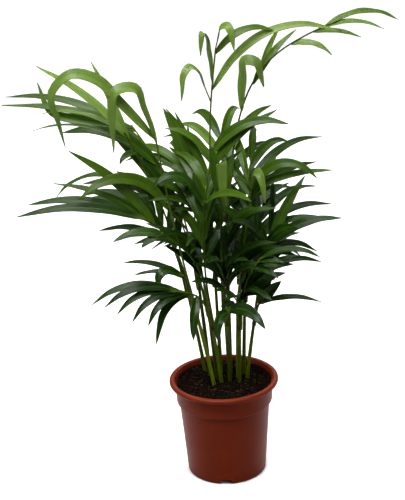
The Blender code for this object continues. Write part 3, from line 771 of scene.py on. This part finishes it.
class Nodes:
    """Short ways to add shader nodes to a new material."""

    def __init__(self, name):
        self.material = bpy.data.materials.new(name)
        self.material.use_nodes = True
        self.tree = self.material.node_tree
        self.shader = self.tree.nodes["Principled BSDF"]
        self.output = self.tree.nodes["Material Output"]

    def add(self, kind, settings=None, **inputs):
        node = self.tree.nodes.new(kind)
        for key, value in (settings or {}).items():
            setattr(node, key, value)
        for key, value in inputs.items():
            self.set(node, key, value)
        return node

    def set(self, node, key, value):
        socket = node.inputs[int(key[1:])] if key[0] == "i" and key[1:].isdigit() \
            else node.inputs[key.replace("_", " ")]
        if isinstance(value, bpy.types.NodeSocket):
            self.tree.links.new(value, socket)
        elif socket.type == 'RGBA':
            socket.default_value = (*value, 1)
        else:
            socket.default_value = value

    def math(self, operation, a, b=0.0):
        return self.add("ShaderNodeMath", {"operation": operation}, i0=a, i1=b).outputs[0]

    def scaled(self, value, factor, offset):
        return self.math("ADD", self.math("MULTIPLY", value, factor), offset)

    def surface(self, colour, roughness, normal, gloss):
        """The material, once its shader is set."""
        for key, value in (("Base Color", colour), ("Roughness", roughness), ("Normal", normal)):
            self.set(self.shader, key, value)
        self.shader.inputs["Specular IOR Level"].default_value = gloss
        return self.material

    def noise(self, vector, scale, detail=3.0, roughness=0.55):
        return self.add("ShaderNodeTexNoise", Vector=vector, Scale=scale, Detail=detail,
                        Roughness=roughness).outputs["Fac"]

    def ramp(self, value, stops):
        node = self.add("ShaderNodeValToRGB", Fac=value)
        ramp = node.color_ramp
        while len(ramp.elements) < len(stops):
            ramp.elements.new(0.5)
        for element, (place, colour) in zip(ramp.elements, stops):
            element.position = place
            element.color = (*colour, 1)
        return node.outputs["Color"]

    def mix(self, factor, a, b):
        node = self.add("ShaderNodeMix", {"data_type": "RGBA"})
        self.set(node, "i0", factor)
        self.set(node, "i6", a)
        self.set(node, "i7", b)
        return node.outputs[2]

    def bump(self, height, strength, distance, normal=None):
        node = self.add("ShaderNodeBump", Height=height, Strength=strength, Distance=distance)
        if normal is not None:
            self.set(node, "Normal", normal)
        return node.outputs["Normal"]

    def uv(self, name):
        node = self.add("ShaderNodeUVMap", {"uv_map": name})
        split = self.add("ShaderNodeSeparateXYZ", Vector=node.outputs["UV"])
        return split.outputs[0], split.outputs[1]

    def place(self, scale=(1, 1, 1)):
        coordinates = self.add("ShaderNodeTexCoord").outputs["Object"]
        return self.add("ShaderNodeMapping", Vector=coordinates, Scale=scale).outputs["Vector"]


def leaf_material():
    n = Nodes("palm_leaf")
    along, across = n.uv("along")
    tint, age = n.uv("tint")
    place = n.place()
    mottle = n.noise(place, LEAF_MOTTLE, 4)
    # tint carries each leaflet's painted lightness: painted light and shade by height and fold, and
    # tone by chance
    green = n.ramp(tint, LEAF_GREENS)
    ribs = n.math("COSINE", n.math("MULTIPLY", across, LEAF_RIBS))
    fine = n.math("COSINE", n.math("MULTIPLY", across, LEAF_FINE_RIBS))
    value = n.scaled(mottle, 0.7, 0.62)
    value = n.math("ADD", value, n.math("MULTIPLY", ribs, 0.16))
    value = n.math("ADD", value, n.math("MULTIPLY", fine, 0.07))
    ribbed = n.add("ShaderNodeHueSaturation", Color=green, Value=value).outputs["Color"]
    middle = n.math("LESS_THAN", n.math("ABSOLUTE", n.math("SUBTRACT", across, 0.5)),
                    MIDRIB_HALF)
    veined = n.mix(n.math("MULTIPLY", middle, 0.45), ribbed, LEAF_MIDRIB)
    base = n.math("SUBTRACT", 1.0, n.math("MULTIPLY", along, 9.0))
    based = n.mix(n.math("MAXIMUM", base, 0.0), veined, LEAF_FOOT)
    tip = n.math("MULTIPLY", n.math("SUBTRACT", along, n.math("SUBTRACT", 1.0,
                 n.math("MULTIPLY", age, 0.05))), 30.0)
    colour = n.mix(n.math("MINIMUM", n.math("MAXIMUM", tip, 0.0), 0.8), based, LEAF_TIP)
    height = n.math("ADD", ribs, n.math("MULTIPLY", fine, 0.35))
    normal = n.bump(height, 0.35, 0.12 * MM)
    normal = n.bump(n.noise(place, LEAF_PORES, 2), 0.12, 0.1 * MM, normal)
    material = n.surface(colour, n.scaled(mottle, 0.14, 0.24), normal, LEAF_GLOSS)
    glow = n.mix(tint, *LEAF_GLOWS)
    through = n.add("ShaderNodeBsdfTranslucent", Color=glow, Normal=normal)
    both = n.add("ShaderNodeMixShader", i0=n.scaled(n.math("MULTIPLY", age, age), 0.3, 0.18))
    n.tree.links.new(n.shader.outputs[0], both.inputs[1])
    n.tree.links.new(through.outputs[0], both.inputs[2])
    n.tree.links.new(both.outputs[0], n.output.inputs[0])
    return material


def stalk_material(name, dark, bright, ridge_count):
    n = Nodes(name)
    along, across = n.uv("along")
    tint, age = n.uv("tint")
    place = n.place((1, 1, 0.12))
    streak = n.noise(place, STREAKS, 3)
    green = n.mix(tint, dark, bright)
    mottled = n.mix(n.math("MULTIPLY", streak, 0.5), green, STREAK)
    foot = n.math("MAXIMUM", n.math("SUBTRACT", 1.0, n.math("MULTIPLY", along, 3.5)), 0.0)
    brown = n.mix(n.math("MULTIPLY", foot, n.math("MULTIPLY", age, 0.8)), mottled, FOOT_BROWN)
    specks = n.ramp(n.noise(n.place((1, 1, 0.4)), SPECKS, 2), [(0.62, BLACK), (0.7, WHITE)])
    colour = n.mix(n.math("MULTIPLY", specks, 0.35), brown, SPECK)
    ridges = n.math("COSINE", n.math("MULTIPLY", across, ridge_count * math.tau))
    normal = n.bump(n.math("ADD", n.math("MULTIPLY", ridges, 0.3), streak), 0.4, 0.2 * MM)
    return n.surface(colour, n.scaled(streak, 0.2, 0.4), normal, STALK_GLOSS)


def pot_material():
    n = Nodes("terracotta_plastic")
    place = n.place()
    cloud = n.noise(place, POT_CLOUDS, 4)
    flow = n.noise(n.place((1, 1, 0.08)), POT_FLOW, 3)
    base = n.ramp(cloud, POT_ORANGES)
    streaked = n.mix(n.math("MULTIPLY", flow, 0.25), base, POT_STREAK)
    dust = n.ramp(n.noise(place, POT_SPECKS, 3), [(0.66, BLACK), (0.78, WHITE)])
    colour = n.mix(n.math("MULTIPLY", dust, 0.18), streaked, POT_DUST)
    scuff = n.noise(n.place((1, 1, 6)), POT_SCUFFS, 4)
    fine = n.noise(place, POT_GRAIN, 2)
    normal = n.bump(n.math("ADD", fine, n.math("MULTIPLY", flow, 1.5)), 0.10, 0.15 * MM)
    return n.surface(colour, n.scaled(scuff, 0.18, 0.38), normal, POT_GLOSS)


def soil_material(name, dark, light, scale):
    n = Nodes(name)
    place = n.place()
    grain = n.noise(place, scale, 6, 0.7)
    crumbs = n.add("ShaderNodeTexVoronoi", Vector=place, Scale=scale * 1.2).outputs["Distance"]
    colour = n.ramp(n.math("MULTIPLY", grain, crumbs), [(0.1, dark), (0.45, light)])
    normal = n.bump(n.math("ADD", grain, crumbs), 0.8, 0.8 * MM)
    return n.surface(colour, n.scaled(grain, 0.2, 0.75), normal, SOIL_GLOSS)


# ---------------------------------------------------------------- pot and soil

def rounded(profile, steps=5):
    """The outline with each (radius, z, rounding) corner turned into a small arc."""
    points = []
    for index, (radius, z, rounding) in enumerate(profile):
        corner = Vector((radius, z))
        if not rounding:
            points.append(corner)
            continue
        before = Vector(profile[index - 1][:2]) - corner
        after = Vector(profile[index + 1][:2]) - corner
        reach = min(rounding, before.length * 0.49, after.length * 0.49)
        start = corner + before.normalized() * reach
        end = corner + after.normalized() * reach
        for step in range(steps + 1):
            t = step / steps
            points.append(start * (1 - t) ** 2 + corner * 2 * t * (1 - t) + end * t * t)
    return points


def make_pot(material):
    """The pot at its CAD size, with a rolled rim, a soft collar ledge and rounded corners."""
    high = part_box("pot")[1]
    rim_radius, height = high.x, high.z
    rim_foot = height - RIM_HEIGHT
    profile = [
        (0, WALL, 0), (BASE_RADIUS - WALL - 1 * MM, WALL, 2 * MM),
        (SIDE_TOP_RADIUS - WALL, COLLAR_FOOT_Z, 1 * MM),
        (COLLAR_FOOT_RADIUS - WALL, COLLAR_FOOT_Z + WALL, 1 * MM),
        (COLLAR_TOP_RADIUS - WALL, rim_foot, 2 * MM),
        (rim_radius - RIM_WIDTH, height, 1.6 * MM), (rim_radius, height, 2.4 * MM),
        (rim_radius - 0.1 * MM, rim_foot, 2 * MM),
        (COLLAR_TOP_RADIUS, rim_foot - 0.4 * MM, 0.8 * MM),
        (COLLAR_FOOT_RADIUS, COLLAR_FOOT_Z, 1.0 * MM),
        (SIDE_TOP_RADIUS, COLLAR_FOOT_Z - 1.2 * MM, 0.8 * MM),
        (BASE_RADIUS, 0, 2 * MM), (0, 0, 0),
    ]
    outline = rounded(profile)
    mesh = bpy.data.meshes.new("pot_shell")
    mesh.from_pydata([(p.x, 0, p.y) for p in outline],
                     [(i, i + 1) for i in range(len(outline) - 1)], [])
    pot = linked("pot_shell", mesh)
    mesh.materials.append(material)
    screw = pot.modifiers.new("turn", 'SCREW')
    screw.steps = screw.render_steps = POT_STEPS
    screw.use_merge_vertices = True
    screw.merge_threshold = 0.00001
    cutters = []
    for index in range(4):
        angle = math.tau * index / 4
        half = NOTCH_WIDTH / 2
        roof = block((CHANNEL_START - WALL, -half - WALL, WALL / 2),
                     (BASE_RADIUS - WALL / 2, half + WALL, NOTCH_HEIGHT + WALL), angle)
        channel = block((CHANNEL_START, -half, -WALL),
                        (BASE_RADIUS + 2 * WALL, half, NOTCH_HEIGHT), angle)
        for cutter, operation in ((roof, 'UNION'), (channel, 'DIFFERENCE')):
            modifier = pot.modifiers.new(operation.lower(), 'BOOLEAN')
            modifier.operation = operation
            modifier.object = cutter
            cutters.append(cutter)
    apply_all(pot)
    for cutter in cutters:
        bpy.data.objects.remove(cutter)
    pot.data.set_sharp_from_angle(angle=math.radians(POT_EDGE))
    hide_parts("pot")
    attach(pot, "root")


def block(low, high, angle):
    bpy.ops.mesh.primitive_cube_add(size=1)
    item = bpy.context.object
    size = Vector(high) - Vector(low)
    middle = (Vector(high) + Vector(low)) / 2
    item.data.transform(Matrix.Rotation(angle, 4, 'Z') @ Matrix.Translation(middle)
                        @ Matrix.Diagonal((*size, 1)))
    return item


def apply_all(item):
    bpy.context.view_layer.update()
    graph = bpy.context.evaluated_depsgraph_get()
    mesh = bpy.data.meshes.new_from_object(item.evaluated_get(graph))
    item.modifiers.clear()
    item.data = mesh
    mesh.shade_smooth()


def soil_height(x, y):
    """The lumpy, slightly mounded top of the compost."""
    place = Vector((x, y, 0))
    spread = min(1.0, place.length / SOIL_RADIUS)
    lumps = sum(noise.noise(place * fineness) * height for fineness, height in SOIL_LUMPS)
    return SOIL_EDGE_Z + SOIL_MOUND * (1 - spread ** 2) + SOIL_RISE + lumps


def make_soil(material):
    """A lumpy skin over the CAD soil, let down at its edge so that it meets the pot."""
    build = Build()
    rings, sides = SOIL_RINGS, SOIL_SIDES
    rows = []
    for i in range(rings + 1):
        radius = SOIL_RADIUS * max(i / rings, 0.002)
        row = []
        for k in range(sides):
            angle = math.tau * k / sides
            x, y = radius * math.cos(angle), radius * math.sin(angle)
            row.append(Vector((x, y, soil_height(x, y))))
        rows.append(row)
    rows.append([Vector((v.x * 0.98, v.y * 0.98, SOIL_EDGE_Z - 1 * MM)) for v in rows[-1]])
    build.grid(rows, [i / (rings + 1) for i in range(rings + 2)], (0.5, 0.5), 0, closed=True)
    build.cap(list(range(sides)), (0.5, 0.5), 0, flip=True)
    last = sides * (rings + 1)
    build.cap([last + k for k in range(sides)], (0.5, 0.5), 0)
    item = build.object("soil_surface", [material])
    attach(item, "root")


def clear_of_canes(x, y):
    return all(math.hypot(x - cane.foot[0] * MM, y - cane.foot[1] * MM) > CANE_ROOM
               for cane in CANES)


def scattered(chance, margin):
    """A place on the soil that no cane stands on."""
    while True:
        radius = (SOIL_RADIUS - margin) * math.sqrt(chance.random())
        angle = chance.uniform(0, math.tau)
        x, y = radius * math.cos(angle), radius * math.sin(angle)
        if clear_of_canes(x, y):
            return x, y


def make_crumbs(name, count, low, high, material, seed):
    """Crumbs of compost: small rough lumps lying on the soil, joined in one mesh."""
    chance = random.Random(seed)
    work = bmesh.new()
    for _ in range(count):
        x, y = scattered(chance, 2 * MM)
        size = low + (high - low) * chance.random() ** 2.5
        turn = Quaternion((chance.gauss(0, 1), chance.gauss(0, 1), chance.gauss(0, 1), 1))
        turn.normalize()
        stretch = Matrix.Diagonal((chance.uniform(0.7, 1.7), 1, chance.uniform(0.5, 0.9), 1))
        place = Matrix.Translation((x, y, soil_height(x, y) + size * 0.15))
        made = bmesh.ops.create_icosphere(work, subdivisions=1, radius=size,
                                          matrix=place @ turn.to_matrix().to_4x4() @ stretch)
        for vert in made["verts"]:
            vert.co += Vector([chance.uniform(-CRUMB_ROUGHNESS, CRUMB_ROUGHNESS) * size
                               for _ in range(3)])
    mesh = bpy.data.meshes.new(name)
    work.to_mesh(mesh)
    work.free()
    mesh.materials.append(material)
    item = linked(name, mesh)
    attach(item, "root")


def make_fibres(material):
    """Thin pale fibres and root ends lying on the compost."""
    chance = random.Random(SEED + 5)
    build = Build()
    for _ in range(FIBRES):
        x, y = scattered(chance, 8 * MM)
        angle = chance.uniform(0, math.tau)
        step = chance.uniform(*FIBRE_STEPS) * MM
        points = []
        for _ in range(6):
            if math.hypot(x, y) > SOIL_RADIUS - 1 * MM:
                break
            lift = chance.uniform(*FIBRE_HEIGHTS) * MM
            points.append(Vector((x, y, soil_height(x, y) + lift)))
            angle += chance.uniform(-0.6, 0.6)
            x += step * math.cos(angle)
            y += step * math.sin(angle)
        if len(points) > 2:
            line = smooth_line(points, 12)
            radius = chance.uniform(*FIBRE_RADII) * MM
            tube(build, line, [radius] * len(line), FIBRE_SIDES, (chance.random(), 0.5), 0)
    item = build.object("soil_fibres", [material])
    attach(item, "root")


# ---------------------------------------------------------------- stage

def make_stage():
    """A pale floor that doesn't light the plant, and glows faintly away from the pot."""
    bpy.ops.mesh.primitive_plane_add(size=FLOOR_SIZE)
    floor = bpy.context.object
    floor.name = "floor"
    n = Nodes("pale_floor")
    n.set(n.shader, "Base Color", FLOOR_GREY)
    n.set(n.shader, "Roughness", 0.9)
    n.shader.inputs["Specular IOR Level"].default_value = 0.0
    n.shader.inputs["Emission Color"].default_value = (1, 1, 1, 1)
    place = n.add("ShaderNodeTexCoord").outputs["Object"]
    away = n.add("ShaderNodeVectorMath", {"operation": "LENGTH"}, i0=place).outputs["Value"]
    share = n.math("DIVIDE", away, 0.1)
    glow = n.ramp(share, [(GLOW_STARTS, BLACK), (GLOW_NEAR, (SHADE_GLOW,) * 3),
                          (GLOW_FULL, (FLOOR_GLOW,) * 3)])
    n.set(n.shader, "Emission Strength", glow)
    floor.data.materials.append(n.material)
    floor.visible_diffuse = False


def make_light(lamp):
    data = bpy.data.lights.new(lamp.name, 'AREA')
    data.shape = 'DISK'
    data.size = lamp.size
    data.energy = lamp.power
    item = linked(lamp.name, data)
    item.location = lamp.place
    aim = Vector(lamp.target) - Vector(lamp.place)
    item.rotation_euler = aim.to_track_quat('-Z', 'Y').to_euler()
    item.visible_diffuse = not lamp.glint


def make_overhead():
    """A broad, even light from high up and a little behind, which also keeps the floor white."""
    data = bpy.data.lights.new("overhead", 'SUN')
    data.energy = SUN_STRENGTH
    data.angle = math.radians(SUN_SPREAD)
    item = linked("overhead", data)
    item.rotation_euler = Vector(SUN_WAY).to_track_quat('-Z', 'Y').to_euler()


def make_world():
    world = bpy.data.worlds.new("studio")
    world.use_nodes = True
    background = world.node_tree.nodes["Background"].inputs
    background["Color"].default_value = (1, 1, 1, 1)
    background["Strength"].default_value = WORLD_STRENGTH
    bpy.context.scene.world = world


def make_camera():
    data = bpy.data.cameras.new("camera")
    data.lens = CAMERA_LENS
    camera = linked("camera", data)
    pitch, yaw, roll = (math.radians(angle) for angle in CAMERA_ANGLES)
    ahead = Vector((math.sin(yaw) * math.cos(pitch), math.cos(yaw) * math.cos(pitch),
                    -math.sin(pitch)))
    right = ahead.cross(Vector((0, 0, 1))).normalized()
    up = right.cross(ahead)
    rolled_right = math.cos(roll) * right + math.sin(roll) * up
    rolled_up = -math.sin(roll) * right + math.cos(roll) * up
    matrix = Matrix((rolled_right, rolled_up, -ahead)).transposed().to_4x4()
    matrix.translation = Vector(CAMERA_PLACE)
    camera.matrix_world = matrix
    bpy.context.scene.camera = camera


def main():
    make_camera()
    make_world()
    make_stage()
    make_overhead()
    for lamp in LAMPS:
        make_light(lamp)
    bpy.context.scene.view_settings.view_transform = 'Standard'
    leaf = leaf_material()
    stalk = stalk_material("palm_stalk", *STALK_GREENS, STALK_RIDGES)
    cane = stalk_material("palm_sheath", *CANE_GREENS, CANE_RIDGES)
    for frond in SHOWN_FRONDS + plume_fronds():
        make_frond(frond, [leaf, stalk])
    for number, each in enumerate(CANES):
        make_cane(number, each, cane)
    make_pot(pot_material())
    earth = soil_material("compost", *COMPOST, SOIL_GRAIN)
    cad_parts["soil"].material_slots[0].material = earth
    make_soil(earth)
    bark = soil_material("bark_crumb", *BARK, BARK_GRAIN)
    pale = soil_material("perlite", *PERLITE, PERLITE_GRAIN)
    make_crumbs("soil_crumbs", CRUMBS, *CRUMB_SIZES, bark, SEED + 1)
    make_crumbs("soil_perlite", PERLITE_BITS, *PERLITE_SIZES, pale, SEED + 2)
    make_fibres(soil_material("fibre", *FIBRE, FIBRE_GRAIN))


main()
